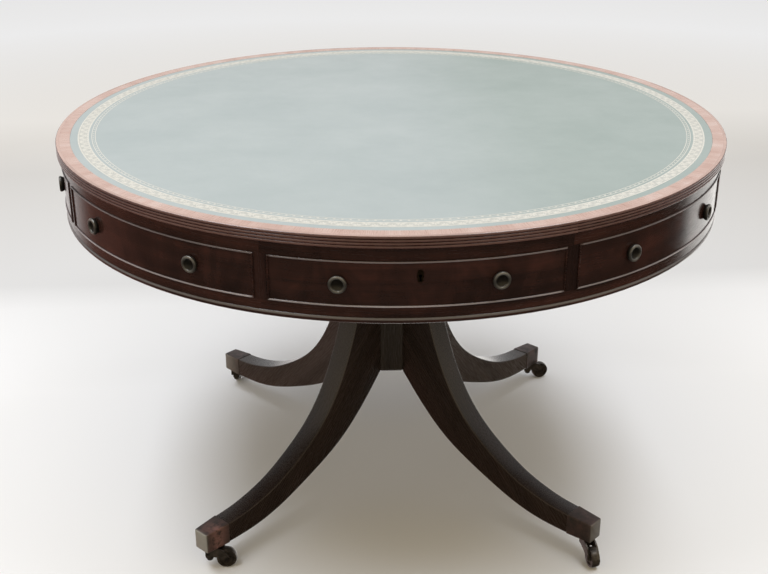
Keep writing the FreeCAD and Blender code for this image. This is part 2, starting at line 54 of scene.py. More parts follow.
def add(tree, kind, inputs=None, **settings):
    """A shader node with its settings; its inputs are values, or outputs of other nodes to link."""
    node = tree.nodes.new("ShaderNode" + kind)
    for name, value in settings.items():
        setattr(node, name, value)
    for name, value in (inputs or {}).items():
        if isinstance(value, bpy.types.NodeSocket):
            tree.links.new(value, node.inputs[name])
        else:
            node.inputs[name].default_value = value
    return node


def blank_finish(name, constants):
    """A new material, its node tree and its shader, with the shader's constant values set."""
    material = bpy.data.materials.new(name)
    material.use_nodes = True
    shader = material.node_tree.nodes["Principled BSDF"]
    for socket, value in constants.items():
        shader.inputs[socket].default_value = value
    return material, material.node_tree, shader


def faded(tree, value, start, end):
    """A share that goes smoothly from 0 where the value is start to 1 where it is end."""
    return add(tree, "MapRange", {"Value": value, "From Min": start, "From Max": end},
               interpolation_type="SMOOTHSTEP").outputs["Result"]


def mixed(tree, share, first, second):
    """The first colour where the share is 0, the second where it is 1; each a colour or an output."""
    first, second = [colour if isinstance(colour, bpy.types.NodeSocket) else (*colour, 1.0)
                     for colour in (first, second)]
    return add(tree, "Mix", {0: share, 6: first, 7: second}, data_type="RGBA").outputs[2]


def ramp(tree, factor, *stops):
    """A colour picked along the stops, which are pairs of a position and a colour."""
    node = add(tree, "ValToRGB", {"Fac": factor})
    elements = node.color_ramp.elements
    for position, _ in stops[2:]:
        elements.new(position)
    for element, (position, colour) in zip(elements, stops):
        element.position = position
        element.color = (*colour, 1.0)
    return node.outputs["Color"]


floor_finish, floor_tree, floor_shader = blank_finish("studio_floor", {
    "Roughness": 0.85, "Specular IOR Level": 0.0, "Emission Color": (0.80, 0.95, 1.20, 1.0)})
floor_mesh.materials.append(floor_finish)
# The floor is flat paper. A greyer band across it behind the table is painted shade, standing for the shaded
# bend of a backdrop, and far from the softboxes it glows, so that it stays as pale as it is near the table.
floor_place = add(floor_tree, "TexCoord").outputs["Object"]
behind = add(floor_tree, "SeparateXYZ", {"Vector": floor_place}).outputs["Y"]
paper_depth = 3.0
behind_share = add(floor_tree, "MapRange", {"Value": behind, "From Max": paper_depth}).outputs["Result"]
# Pairs of the metres behind the middle of the table and the grey there; the lower greys between are the
# painted shade of the band
paper_greys_with_painted_shade = ((0.35, 0.83), (0.82, 0.71), (0.98, 0.60), (2.00, 0.65), (2.70, 0.83))
paper_with_painted_shade = ramp(floor_tree, behind_share, *[(at / paper_depth, (grey, grey, grey)) for at, grey in paper_greys_with_painted_shade])
floor_tree.links.new(paper_with_painted_shade, floor_shader.inputs["Base Color"])
from_table = add(floor_tree, "VectorMath", {0: floor_place}, operation="LENGTH").outputs["Value"]
glow_start = 2.7
glow_full = 4.8
glow_strength = 0.27
floor_glow = add(floor_tree, "MapRange", {"Value": from_table, "From Min": glow_start, "From Max": glow_full,
                                          "To Min": 0.0, "To Max": glow_strength})
floor_tree.links.new(floor_glow.outputs["Result"], floor_shader.inputs["Emission Strength"])

room = bpy.data.worlds.new("studio_room")
room.use_nodes = True
scene.world = room
room_tree = room.node_tree
towards = add(room_tree, "SeparateXYZ", {"Vector": add(room_tree, "TexCoord").outputs["Generated"]}).outputs
front_wall = (0.72, 0.60, 0.40)
back_wall = (0.60, 0.60, 0.61)
shadow = (0.030, 0.020, 0.015)
red_dusk = (0.27, 0.11, 0.085)
left_light = (1.00, 0.94, 0.92)
right_light = (1.85, 1.81, 1.74)


def shaded(axis, start, end, first, second):
    """The room's first colour in directions whose share along an axis is start, its second at end."""
    return mixed(room_tree, faded(room_tree, towards[axis], start, end), first, second)


walls = shaded("Y", -0.5, 0.4, front_wall, back_wall)
left_dusk = shaded("Y", -0.1, 0.45, shadow, red_dusk)
left_ground = shaded("Y", 0.56, 0.80, left_dusk, left_light)
right_ground = shaded("Y", 0.37, 0.45, shadow, right_light)
ground = shaded("X", -0.2, 0.2, left_ground, right_ground)
room_colour = shaded("Z", -0.08, -0.02, ground, walls)
room_tree.links.new(room_colour, room_tree.nodes["Background"].inputs["Color"])

softbox_width = 0.9
softbox_length = 2.4
softbox_y = -0.2
softbox_height = 3.0
softbox_tint = (0.95, 1.0, 1.09)
for side, across, power in (("left", -1.35, 64.0), ("right", 1.10, 53.0)):
    softbox = bpy.data.lights.new(side + "_softbox", "AREA")
    softbox.shape = "RECTANGLE"
    softbox.size = softbox_width
    softbox.size_y = softbox_length
    softbox.energy = power
    softbox.color = softbox_tint
    softbox_holder = bpy.data.objects.new(side + "_softbox", softbox)
    softbox_holder.location = (across, softbox_y, softbox_height)
    scene.collection.objects.link(softbox_holder)

camera_place = (-0.1526, -2.1296, 1.350)
camera_tilt_deg = 23.93
camera_heading_deg = 3.76
camera = bpy.data.cameras.new("camera")
camera.sensor_width = 36.0
camera.lens = 54.84
camera_holder = bpy.data.objects.new("camera", camera)
camera_holder.location = camera_place
camera_holder.rotation_euler = (math.radians(90 - camera_tilt_deg), 0, -math.radians(camera_heading_deg))
scene.collection.objects.link(camera_holder)
scene.camera = camera_holder
scene.view_settings.view_transform = "Standard"
scene.view_settings.look = "None"

# Castors: cast brass wheels on steel pins in horned forks, each riveted up into its toe cap. Age and
# floor dirt have turned the brass nearly black, in uneven patches.
places = ("front_left", "front_right", "back_right", "back_left")


def aged_metal(name, dull, bright, roughness, patch_size, metallic=1.0, worn_faded_and_highlit=()):
    """Metal under a patina: a noise of patch_size metres mixes dull and bright, and sets the shine.
    worn_faded_and_highlit holds pairs of a share, as a function of the node tree, and the tone of the metal
    where the share is 1: bare rubbed metal, knocked copper, and on the knobs and caps also painted
    highlights."""
    material, tree, shader = blank_finish(name, {"Metallic": metallic})
    place = add(tree, "TexCoord").outputs["Object"]
    patches = add(tree, "TexNoise", {"Vector": place, "Scale": 1 / patch_size, "Detail": 6.0,
                                     "Roughness": 0.62})
    scratches = add(tree, "TexNoise", {"Vector": place, "Scale": 9 / patch_size, "Detail": 3.0})
    patina = ramp(tree, patches.outputs["Fac"], (0.34, dull), (0.70, bright))
    for share_in, marked_tone in worn_faded_and_highlit:
        patina = mixed(tree, share_in(tree), patina, marked_tone)
    tree.links.new(patina, shader.inputs["Base Color"])
    shine = add(tree, "MapRange", {"Value": patches.outputs["Fac"], "From Min": 0.3, "From Max": 0.7,
                                   "To Min": roughness + 0.14, "To Max": roughness - 0.08})
    tree.links.new(shine.outputs["Result"], shader.inputs["Roughness"])
    pits = add(tree, "Bump", {"Height": scratches.outputs["Fac"], "Strength": 0.25, "Distance": 0.0004})
    tree.links.new(pits.outputs["Normal"], shader.inputs["Normal"])
    return material


def dress(material, *names):
    """Gives CAD nodes a material."""
    for name in names:
        nodes[name].data.materials.clear()
        nodes[name].data.materials.append(material)


dark_castor_brass = aged_metal("dark_castor_brass", (0.026, 0.022, 0.019), (0.105, 0.088, 0.072),
                               roughness=0.40, patch_size=0.012, metallic=0.6)
worn_steel = aged_metal("worn_steel", (0.05, 0.047, 0.044), (0.16, 0.155, 0.15),
                        roughness=0.40, patch_size=0.010)
for place in places:
    dress(dark_castor_brass, "castor_fork_" + place, "castor_wheel_" + place)
    dress(worn_steel, "castor_axle_" + place)
dress(worn_steel, "castor_pivots")

# Toe caps: square tapering brass sockets driven over the ends of the legs. Their corners are rounded by
# handling, and the metal is a dull grey brown, rubbed bare where shoes meet the ends and knocked on one
# side;
# the front left end and the back left cap's left side are also painted paler, as painted light from the
# left.
mm = 0.001
toe_radius = 461.0 * mm
cap_end_radius = 512.0 * mm
cap_mouth_half = 20.0 * mm
cap_half_taper = 3.5 * mm
cap_bottom = 44.0 * mm
cap_mouth_top = 86.0 * mm
cap_top_fall = 3.0 * mm
cap_wall = 2.2 * mm
cap_corner = 2.4 * mm
cap_mouth_round = 0.5 * mm


def squared(half, low, high):
    """Four-cornered sections, one to a ring: across from -half to half, and up from low to high."""
    corners = ((-half, low), (half, low), (half, high), (-half, high))
    return np.stack([np.stack(corner, -1) for corner in corners], axis=1)


def softened(corners, reach, steps=5):
    """Each corner of a ring gives way to a curve that leaves its two sides at reach from the corner:
    corner + before (1 - t)^2 + after t^2, with t from 0 to 1."""
    before = np.roll(corners, 1, axis=-2) - corners
    after = np.roll(corners, -1, axis=-2) - corners
    before = before * reach / np.linalg.norm(before, axis=-1, keepdims=True)
    after = after * reach / np.linalg.norm(after, axis=-1, keepdims=True)
    t = np.linspace(0, 1, steps)[:, None]
    bends = corners[..., None, :] + before[..., None, :] * (1 - t) ** 2 + after[..., None, :] * t ** 2
    return bends.reshape(*corners.shape[:-2], -1, corners.shape[-1])


def turned(points, degrees):
    """Points turned about the upright axis: x cos - y sin, x sin + y cos, and z as it was."""
    angle = math.radians(degrees)
    cos, sin = math.cos(angle), math.sin(angle)
    return points @ np.array([[cos, -sin, 0], [sin, cos, 0], [0, 0, 1]]).T


def closed_up(mesh, nearness):
    """Merges the points of a mesh that are nearer than nearness, and turns its faces outwards."""
    cleaned = bmesh.new()
    cleaned.from_mesh(mesh)
    bmesh.ops.remove_doubles(cleaned, verts=cleaned.verts, dist=nearness)
    bmesh.ops.recalc_face_normals(cleaned, faces=cleaned.faces)
    cleaned.to_mesh(mesh)
    cleaned.free()


def piece_of(name, mesh, material):
    """A mesh with its material as a piece in the scene."""
    mesh.materials.append(material)
    piece = bpy.data.objects.new(name, mesh)
    scene.collection.objects.link(piece)
    return piece


def lofted(name, rings, material, closed=False, grain=None, wear_and_highlight=None, scuffs=None, sharp_deg=32.0):
    """A skin over rings of points, joined point to point and ring to ring. The end rings are filled in,
    or joined to each other where closed. grain gives each point its place in the wood, wear_and_highlight
    the share of rubbed tone and painted highlight at it, and scuffs how much it has been knocked."""
    count, around = rings.shape[:2]
    index = np.arange(count * around).reshape(count, around)
    here = index if closed else index[:-1]
    there = np.roll(index, -1, axis=0) if closed else index[1:]
    quads = np.stack([here, np.roll(here, -1, axis=1), np.roll(there, -1, axis=1), there], axis=-1)
    faces = quads.reshape(-1, 4).tolist()
    if not closed:
        faces += [index[0][::-1].tolist(), index[-1].tolist()]
    mesh = bpy.data.meshes.new(name)
    mesh.from_pydata(rings.reshape(-1, 3).tolist(), [], faces)
    if grain is not None:
        layer = mesh.attributes.new("grain", "FLOAT_VECTOR", "POINT")
        layer.data.foreach_set("vector", np.ascontiguousarray(grain, dtype=np.float32).ravel())
    for layer_name, shares in (("wear_and_highlight", wear_and_highlight), ("scuffs", scuffs)):
        if shares is not None:
            layer = mesh.attributes.new(layer_name, "FLOAT", "POINT")
            layer.data.foreach_set("value", np.ascontiguousarray(shares, dtype=np.float32).ravel())
    closed_up(mesh, 1e-6)
    mesh.shade_smooth()
    mesh.set_sharp_from_angle(angle=math.radians(sharp_deg))
    return piece_of(name, mesh, material)


def maths(tree, operation, *values):
    """The result of an arithmetic operation on numbers or outputs."""
    return add(tree, "Math", dict(enumerate(values)), operation=operation).outputs[0]


def stored_wear_and_highlight(tree):
    """The share of rubbed tone and painted highlight at each point of a piece, as stored on it."""
    return add(tree, "Attribute", attribute_name="wear_and_highlight").outputs["Fac"]


def knocked_bare(tree):
    """Scuffs down to coppery metal: the share stored on a cap, broken up by a noise."""
    stored = add(tree, "Attribute", attribute_name="scuffs").outputs["Fac"]
    place = add(tree, "TexCoord").outputs["Object"]
    chips_per_metre = 110.0
    chips = add(tree, "TexNoise", {"Vector": place, "Scale": chips_per_metre, "Detail": 3.0}).outputs["Fac"]
    return maths(tree, "MULTIPLY", stored, faded(tree, chips, 0.32, 0.58))


bare_and_highlit_tone = (0.37, 0.365, 0.325)
copper_tone = (0.27, 0.138, 0.116)
dull_toe_brass = aged_metal("dull_toe_brass", (0.034, 0.030, 0.027), (0.104, 0.062, 0.054),
                            roughness=0.42, patch_size=0.018, metallic=0.45,
                            worn_faded_and_highlit=[(stored_wear_and_highlight, bare_and_highlit_tone), (knocked_bare, copper_tone)])
leg_turns_deg = {"front_left": -136.2, "front_right": -46.2, "back_right": 43.8, "back_left": 133.8}
# A cap is a section that tapers evenly from its mouth to its end. Each ring has its distance from the
# middle of the table, and how far its section is drawn in to round the mouth and the end.
flat_out = np.linspace(toe_radius + cap_mouth_round, cap_end_radius - cap_corner, 9)
cap_rings = np.concatenate([[(toe_radius, cap_wall), (toe_radius, cap_mouth_round)],
                            np.stack([flat_out, np.zeros_like(flat_out)], axis=-1),
                            [(cap_end_radius - 1.2 * mm, 0.3 * mm), (cap_end_radius - 0.3 * mm, 1.2 * mm),
                             (cap_end_radius, 2.6 * mm)]])
cap_share = (cap_rings[:, 0] - toe_radius) / (cap_end_radius - toe_radius)
cap_half = cap_mouth_half - cap_half_taper * cap_share - cap_rings[:, 1]
cap_low = cap_bottom + cap_rings[:, 1]
cap_high = (cap_mouth_top - cap_top_fall * cap_share) - cap_rings[:, 1]
cap_section = softened(squared(cap_half, cap_low, cap_high), cap_corner)
cap_out = np.broadcast_to(cap_rings[:, :1, None], (*cap_section.shape[:2], 1))
cap_points = np.concatenate([cap_out, cap_section], axis=-1)
# The last four rings, round the edge of the end, are the most worn
end_wear = np.concatenate([np.zeros(len(flat_out) + 1), [0.1, 0.5, 1, 1]])
cap_end_wear = np.broadcast_to(end_wear[:, None], cap_points.shape[:2])
# The front left end is pale partly from rubbing and partly as painted light from the left softbox
cap_end_wear_and_light = {"front_left": 1.0, "front_right": 0.35, "back_right": 0.30, "back_left": 0.35}
# The front left cap has been knocked in the middle of the side that faces right
scuff_middle = toe_radius + 25.0 * mm
scuff_reach = 15.0 * mm
cap_scuffs = np.exp(-((cap_points[..., 0] - scuff_middle) / scuff_reach) ** 2) * (cap_points[..., 1] > 0)
# The back left cap has a painted highlight on the side that faces left, more towards its end
side_margin = 0.2 * mm
on_cap_side = cap_points[..., 1] > cap_half[:, None] - side_margin
mouth_side_highlight = 0.16
more_at_end = 0.60
cap_side_highlight = on_cap_side * (mouth_side_highlight + more_at_end * cap_share)[:, None]
for place in places:
    cap_wear_and_highlight = np.maximum(cap_end_wear * cap_end_wear_and_light[place], cap_side_highlight * (place == "back_left"))
    cap = lofted("square_toe_cap_" + place, turned(cap_points, leg_turns_deg[place]), dull_toe_brass,
                 wear_and_highlight=cap_wear_and_highlight, scuffs=cap_scuffs * (place == "front_left"))
    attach(cap, "base")
    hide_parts("toe_cap_" + place)

# Sabre legs: sawn from mahogany plank so that the grain runs straight from hip to toe, tapered to the
# foot, and dovetailed into the column. The arrises are eased by hand and by years of dusting.
leg_root_radius = 54.8 * mm
leg_root_bottom = 242.0 * mm
leg_root_top = 505.0 * mm
toe_bottom = 45.0 * mm
toe_top = 85.0 * mm
leg_root_half = 23.0 * mm
leg_half_taper = 4.0 * mm
leg_arris = 2.6 * mm
# Points of the two edges, as shares of the leg's reach from the column and of its rise from the toe
leg_back_shares = [(0.044, 1.0), (0.086, 0.954), (0.111, 0.880), (0.135, 0.788), (0.187, 0.642),
                   (0.262, 0.487), (0.336, 0.382), (0.410, 0.308), (0.509, 0.238), (0.609, 0.183),
                   (0.708, 0.140), (0.807, 0.112), (0.906, 0.094)]
leg_belly_shares = [(0.071, 0.836), (0.180, 0.615), (0.289, 0.442), (0.420, 0.298), (0.542, 0.190),
                    (0.703, 0.070), (0.869, 0.008)]


def spline(points, shares):
    """The natural cubic spline through points, read at shares of its chord length. The bends at the
    points solve the usual three-term equations, and each span is the cubic with those bends."""
    gaps = np.linalg.norm(np.diff(points, axis=0), axis=1)
    knots = np.concatenate([[0], np.cumsum(gaps)])
    slopes = np.diff(points, axis=0) / gaps[:, None]
    system = np.diag(np.concatenate([[1], 2 * (gaps[:-1] + gaps[1:]), [1]]))
    system += np.diag(np.concatenate([gaps[:-1], [0]]), -1) + np.diag(np.concatenate([[0], gaps[1:]]), 1)
    pull = np.zeros_like(points)
    pull[1:-1] = 6 * np.diff(slopes, axis=0)
    bends = np.linalg.solve(system, pull)
    at = shares * knots[-1]
    span = np.clip(np.searchsorted(knots, at) - 1, 0, len(gaps) - 1)
    gap = gaps[span][:, None]
    past = (at - knots[span])[:, None]
    left = gap - past
    return (bends[span] * left ** 3 / (6 * gap) + bends[span + 1] * past ** 3 / (6 * gap)
            + (points[span] / gap - bends[span] * gap / 6) * left
            + (points[span + 1] / gap - bends[span + 1] * gap / 6) * past)


def leg_points(shares, root):
    """Points of a leg's outline from shares of its reach and of its rise from the toe to root."""
    shares = np.array(shares)
    return np.stack([leg_root_radius + shares[:, 0] * (toe_radius - leg_root_radius),
                     toe_bottom + shares[:, 1] * (root - toe_bottom)], axis=-1)


def wood_place(tree):
    """Metres along, across and through the wood, as stored on a piece."""
    return add(tree, "Attribute", attribute_name="grain").outputs["Vector"]


def mahogany(name, place_in, tones, figure_share, roughness=0.20, worn_faded_and_highlit=()):
    """Mahogany, French-polished where its roughness is low. Noises stretched along the grain make broad
    streaks and fine pores, a rounder one the figure; their sum picks a tone from dark to light, and the
    pores break the shine. worn_faded_and_highlit holds pairs of a share, as a function of the node tree, and
    the tone that rubbing, sun or a painted highlight gives the wood where the share is 1."""
    material, tree, shader = blank_finish(name, {"Specular IOR Level": 0.45})
    place = place_in(tree)

    def streaks(along, across, detail, distortion):
        stretched = add(tree, "Mapping", {"Vector": place, "Scale": (along, across, across)})
        return add(tree, "TexNoise", {"Vector": stretched.outputs["Vector"], "Scale": 1.0, "Detail": detail,
                                      "Distortion": distortion}).outputs["Fac"]

    broad = streaks(along=3.0, across=42.0, detail=4.0, distortion=0.5)
    pores = streaks(along=40.0, across=900.0, detail=2.0, distortion=0.0)
    figure = streaks(along=16.0, across=9.0, detail=3.0, distortion=1.6)
    summed = maths(tree, "MULTIPLY", figure, figure_share)
    pore_share = 0.15
    broad_share = 1.0 - pore_share - figure_share
    for streak, share in ((broad, broad_share), (pores, pore_share)):
        summed = maths(tree, "MULTIPLY_ADD", streak, share, summed)
    dark, middle, light = tones
    colour = ramp(tree, summed, (0.36, dark), (0.50, middle), (0.64, light))
    for share_in, marked_tone in worn_faded_and_highlit:
        uneven = add(tree, "MapRange", {"Value": broad, "From Min": 0.3, "From Max": 0.6, "To Min": 0.6})
        marked_share = maths(tree, "MULTIPLY", share_in(tree), uneven.outputs["Result"])
        colour = mixed(tree, marked_share, colour, marked_tone)
    tree.links.new(colour, shader.inputs["Base Color"])
    shine = add(tree, "MapRange", {"Value": pores, "From Min": 0.3, "From Max": 0.7,
                                   "To Min": roughness + 0.10, "To Max": roughness - 0.04})
    tree.links.new(shine.outputs["Result"], shader.inputs["Roughness"])
    open_pores = add(tree, "Bump", {"Height": pores, "Strength": 0.10, "Distance": 0.0003})
    tree.links.new(open_pores.outputs["Normal"], shader.inputs["Normal"])
    return material


leg_tones = ((0.017, 0.0112, 0.0084), (0.022, 0.0144, 0.0108), (0.028, 0.0182, 0.0136))
leg_worn_tone = (0.042, 0.031, 0.026)
leg_mahogany = mahogany("leg_mahogany", wood_place, leg_tones, figure_share=0.15, roughness=0.24,
                        worn_faded_and_highlit=[(stored_wear_and_highlight, leg_worn_tone)])
# The back legs take paler tones: painted light, for the light that falls on them from the softboxes at the
# sides
lit_back_leg_tones = ((0.043, 0.0340, 0.0295), (0.056, 0.0440, 0.0385), (0.070, 0.0550, 0.0490))
lit_back_leg_mahogany = mahogany("lit_back_leg_mahogany", wood_place, lit_back_leg_tones, figure_share=0.15,
                             roughness=0.24, worn_faded_and_highlit=[(stored_wear_and_highlight, leg_worn_tone)])
# A leg is a section carried from hip to toe between two lines: the back, which starts with a straight
# hip, and the belly, whose stations gather near the hip
hip_steps = 8
station = np.linspace(0, 1, 84)
belly_gather = 1.6
back_points = np.concatenate([leg_points(leg_back_shares, leg_root_top), [(toe_radius, toe_top)]])
belly_points = np.concatenate([[(leg_root_radius, leg_root_bottom)],
                               leg_points(leg_belly_shares, leg_root_bottom), [(toe_radius, toe_bottom)]])
hip_line = np.linspace((leg_root_radius, leg_root_top), back_points[0], hip_steps, endpoint=False)
back_line = np.concatenate([hip_line, spline(back_points, np.linspace(0, 1, len(station) - hip_steps))])
belly_line = spline(belly_points, station ** belly_gather)
middle_x = (back_line[:, 0] + belly_line[:, 0]) / 2
leg_half = leg_root_half - leg_half_taper * (middle_x - leg_root_radius) / (toe_radius - leg_root_radius)
leg_height = np.linalg.norm(back_line - belly_line, axis=1)
leg_section = softened(squared(leg_half, np.zeros_like(leg_half), leg_height), leg_arris)
rise_share = leg_section[..., 1:] / leg_height[:, None, None]
leg_side = belly_line[:, None, :] + rise_share * (back_line - belly_line)[:, None, :]
leg_ring = np.stack([leg_side[..., 0], leg_section[..., 0], leg_side[..., 1]], axis=-1)
grain_slope_deg = 49.0
grain_cos = math.cos(math.radians(grain_slope_deg))
grain_sin = math.sin(math.radians(grain_slope_deg))
leg_grain = np.stack([leg_ring[..., 0] * grain_cos - leg_ring[..., 2] * grain_sin,
                      leg_ring[..., 0] * grain_sin + leg_ring[..., 2] * grain_cos,
                      leg_ring[..., 1]], axis=-1)
# Wear at the five points of each eased corner
corner_wear = np.array([0.0, 0.35, 0.8, 0.35, 0.0])
leg_wear = np.broadcast_to(np.tile(corner_wear, 4), leg_ring.shape[:2])
plank_step = 1.7
for number, place in enumerate(places):
    leg_finish = leg_mahogany if place.startswith("front") else lit_back_leg_mahogany
    leg = lofted("sabre_leg_" + place, turned(leg_ring, leg_turns_deg[place]), leg_finish,
                 grain=leg_grain + number * plank_step, wear_and_highlight=leg_wear)
    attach(leg, "base")
    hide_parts("leg_" + place)

# Column: upright mahogany with a turned neck, which carries a round platform of flat board. The steel
# spindle and its nut hold the drum down, and the drum's centre block turns round them.


def place_parts(tree):
    """The X, Y and Z of a point, as outputs."""
    return add(tree, "SeparateXYZ", {"Vector": add(tree, "TexCoord").outputs["Object"]}).outputs


def upright_grain(tree):
    """Metres up the wood, then across it."""
    parts = place_parts(tree)
    return add(tree, "CombineXYZ", {"X": parts["Z"], "Y": parts["X"], "Z": parts["Y"]}).outputs["Vector"]


column_tones = ((0.023, 0.0182, 0.0142), (0.030, 0.0235, 0.0182), (0.038, 0.0295, 0.0228))
column_mahogany = mahogany("column_mahogany", upright_grain, column_tones, figure_share=0.12, roughness=0.24)
dress(column_mahogany, "pedestal_column")
dress(worn_steel, "pivot_spindle", "retaining_nut")


def board_grain(tree):
    """Metres along a plain board that lies along X."""
    return add(tree, "TexCoord").outputs["Object"]


pale_tones = ((0.20, 0.115, 0.055), (0.30, 0.185, 0.095), (0.40, 0.26, 0.145))
plain_timber = mahogany("plain_timber", board_grain, pale_tones, figure_share=0.10, roughness=0.50)
under_tones = ((0.030, 0.015, 0.009), (0.050, 0.026, 0.016), (0.075, 0.042, 0.026))
platform_mahogany = mahogany("platform_mahogany", board_grain, under_tones, figure_share=0.15,
                             roughness=0.34)
dress(platform_mahogany, "bearing_platform")
dress(plain_timber, "centre_block")

# Drum: a base board edged with an astragal, an upper rail under a plain top board, and partitions whose
# ends show as stiles between the fronts. The grain runs round the rail and the astragal, and up the stiles.
frieze_radius = 602.5 * mm
front_pitch_deg = 45.0


def out_from_axis(tree, parts):
    """The distance from the drum's upright axis, from the parts of a place."""
    flat = add(tree, "CombineXYZ", {"X": parts["X"], "Y": parts["Y"], "Z": 0.0})
    return add(tree, "VectorMath", {0: flat.outputs["Vector"]}, operation="LENGTH").outputs["Value"]


def round_grain(tree):
    """Metres round the drum from a stile at the back, out from its middle, and up. Every front starts
    a new leaf of veneer, so a step in each pitch sets its pattern apart."""
    start_deg = front_pitch_deg / 2
    turned_place = add(tree, "VectorRotate", {"Vector": add(tree, "TexCoord").outputs["Object"],
                                              "Angle": math.radians(start_deg)}, rotation_type="Z_AXIS")
    parts = add(tree, "SeparateXYZ", {"Vector": turned_place.outputs["Vector"]}).outputs
    angle = maths(tree, "ARCTAN2", parts["X"], maths(tree, "MULTIPLY", parts["Y"], -1.0))
    around = maths(tree, "MULTIPLY", angle, frieze_radius)
    leaf = maths(tree, "FLOOR", maths(tree, "DIVIDE", angle, math.radians(front_pitch_deg)))
    leaf_step = 0.37
    apart = maths(tree, "MULTIPLY_ADD", leaf, leaf_step, out_from_axis(tree, parts))
    return add(tree, "CombineXYZ", {"X": around, "Y": apart, "Z": parts["Z"]}).outputs["Vector"]


drum_tones = ((0.014, 0.0066, 0.0050), (0.026, 0.0108, 0.0078), (0.046, 0.0172, 0.0118))
rail_mahogany = mahogany("rail_mahogany", round_grain, drum_tones, figure_share=0.20)
dress(rail_mahogany, "upper_rail_ring", "base_board")
dress(plain_timber, "top_board")
# The astragal's upper turn is painted with a highlight of this tone
astragal_highlight_tone = (0.105, 0.094, 0.089)
astragal_middle = 616.0 * mm
crest_start = astragal_middle + 2.6 * mm
crest_stop = astragal_middle + 3.2 * mm
crest_end = astragal_middle + 5.2 * mm


def astragal_highlight(tree):
    """A painted highlight along the upper turn of the astragal, where light from above falls on it: rising
    and falling shares of the height, multiplied."""
    height = place_parts(tree)["Z"]
    rising = faded(tree, height, astragal_middle, crest_start)
    falling = faded(tree, height, crest_end, crest_stop)
    return maths(tree, "MULTIPLY", rising, falling)


astragal_mahogany = mahogany("astragal_mahogany", round_grain, drum_tones, figure_share=0.20, roughness=0.22,
                             worn_faded_and_highlit=[(astragal_highlight, astragal_highlight_tone)])
dress(astragal_mahogany, "lower_astragal")
stile_tones = ((0.010, 0.0050, 0.0040), (0.018, 0.0080, 0.0060), (0.031, 0.0124, 0.0090))
stile_mahogany = mahogany("stile_mahogany", upright_grain, stile_tones, figure_share=0.20)
dress(stile_mahogany, "drawer_partitions")

# Fronts: eight curved panels veneered with figured mahogany, four of them drawers and four dummies
# fixed in the drum. Each is edged with a thin mitred cockbead whose nose stands proud and rounded.
bead_thickness = 3.0 * mm
bead_back = frieze_radius - 8.0 * mm
bead_nose = frieze_radius + 2.0 * mm
front_inner = frieze_radius - 22.0 * mm
drawer_half = 220.72 * mm
dummy_edge = 239.82 * mm
drawer_levels = (637.3 * mm, 709.4 * mm)
dummy_levels = (637.0 * mm, 710.0 * mm)
front_tones = ((0.0146, 0.0074, 0.0059), (0.0258, 0.0112, 0.0084), (0.0445, 0.0166, 0.0118))
front_mahogany = mahogany("front_mahogany", round_grain, front_tones, figure_share=0.42, roughness=0.17)
# The bead noses are painted with a highlight of this tone, as light from above catches them
nose_highlight_tone = (0.290, 0.258, 0.260)
upper_nose_highlight = 0.45
bead_mahogany = mahogany("bead_mahogany", round_grain, drum_tones, figure_share=0.15, roughness=0.22,
                         worn_faded_and_highlit=[(stored_wear_and_highlight, nose_highlight_tone)])


def drawer_reach(radius, inset):
    """Half the angle of a drawer front at a radius: its ends are parallel, so this is the arcsine of its
    half width, drawn in by inset, over the radius."""
    return np.arcsin((drawer_half - inset) / radius)


def dummy_reach(radius, inset):
    """Half the angle of a dummy front at a radius: an eighth of a turn, less the angle that the half width
    of a drawer and its partition takes up there."""
    return math.pi / 4 - np.arcsin((dummy_edge + inset) / radius)


def on_drum(radius, angle, height):
    """Points at a radius, an angle from the front and a height: x = r sin a, y = -r cos a."""
    return np.stack(np.broadcast_arrays(radius * np.sin(angle), -radius * np.cos(angle), height), axis=-1)


def cockbead_frame(reach, levels):
    """The section of the bead, a strip with a half-round nose, carried round the four sides of a front.
    A section point at inset w runs round the front's outline drawn in by w, so the corners are mitred.
    A painted highlight of the light above lies on the noses of the lower strips, a weaker one on the upper
    strips, which the top's overhang shades, and none on the uprights. The last station of an upright is
    close to its mitre, so that the highlight of the next strip ends there."""
    nose_turn = np.linspace(-math.pi / 2, math.pi / 2, 9)
    nose_radius = bead_thickness / 2
    nose_out = bead_nose - nose_radius + nose_radius * np.cos(nose_turn)
    section_out = np.concatenate([[bead_back], nose_out, [bead_back]])
    section_in = np.concatenate([[0], nose_radius + nose_radius * np.sin(nose_turn), [bead_thickness]])
    along = np.linspace(-1, 1, 64, endpoint=False)
    near_mitre = 0.985
    up = np.append(np.linspace(-1, 0.9, 6), near_mitre)
    across_share = np.concatenate([along, np.ones_like(up), -along, -np.ones_like(up)])[:, None]
    up_share = np.concatenate([-np.ones_like(along), up, np.ones_like(along), -up])[:, None]
    low, high = levels
    height = (low + high) / 2 + up_share * ((high - low) / 2 - section_in)
    path_highlight = np.concatenate([np.ones_like(along), np.zeros_like(up),
                                np.full_like(along, upper_nose_highlight), np.zeros_like(up)])
    nose_highlight = np.concatenate([[0], np.cos(nose_turn) ** 0.5, [0]])
    rings = on_drum(section_out, across_share * reach(section_out, section_in), height)
    return rings, path_highlight[:, None] * nose_highlight


def front_slab(reach, levels):
    """A curved panel: its section, with a rebate for the bead above and below, carried round the drum."""
    low, high = levels
    section_out = np.array([front_inner, bead_back, bead_back, frieze_radius,
                            frieze_radius, bead_back, bead_back, front_inner])
    section_in = np.array([0, 0, bead_thickness, bead_thickness, bead_thickness, bead_thickness, 0, 0])
    height = np.array([low, low, low + bead_thickness, low + bead_thickness, high - bead_thickness,
                       high - bead_thickness, high, high])
    across_share = np.linspace(-1, 1, 65)[:, None]
    return on_drum(section_out, across_share * reach(section_out, section_in), height)


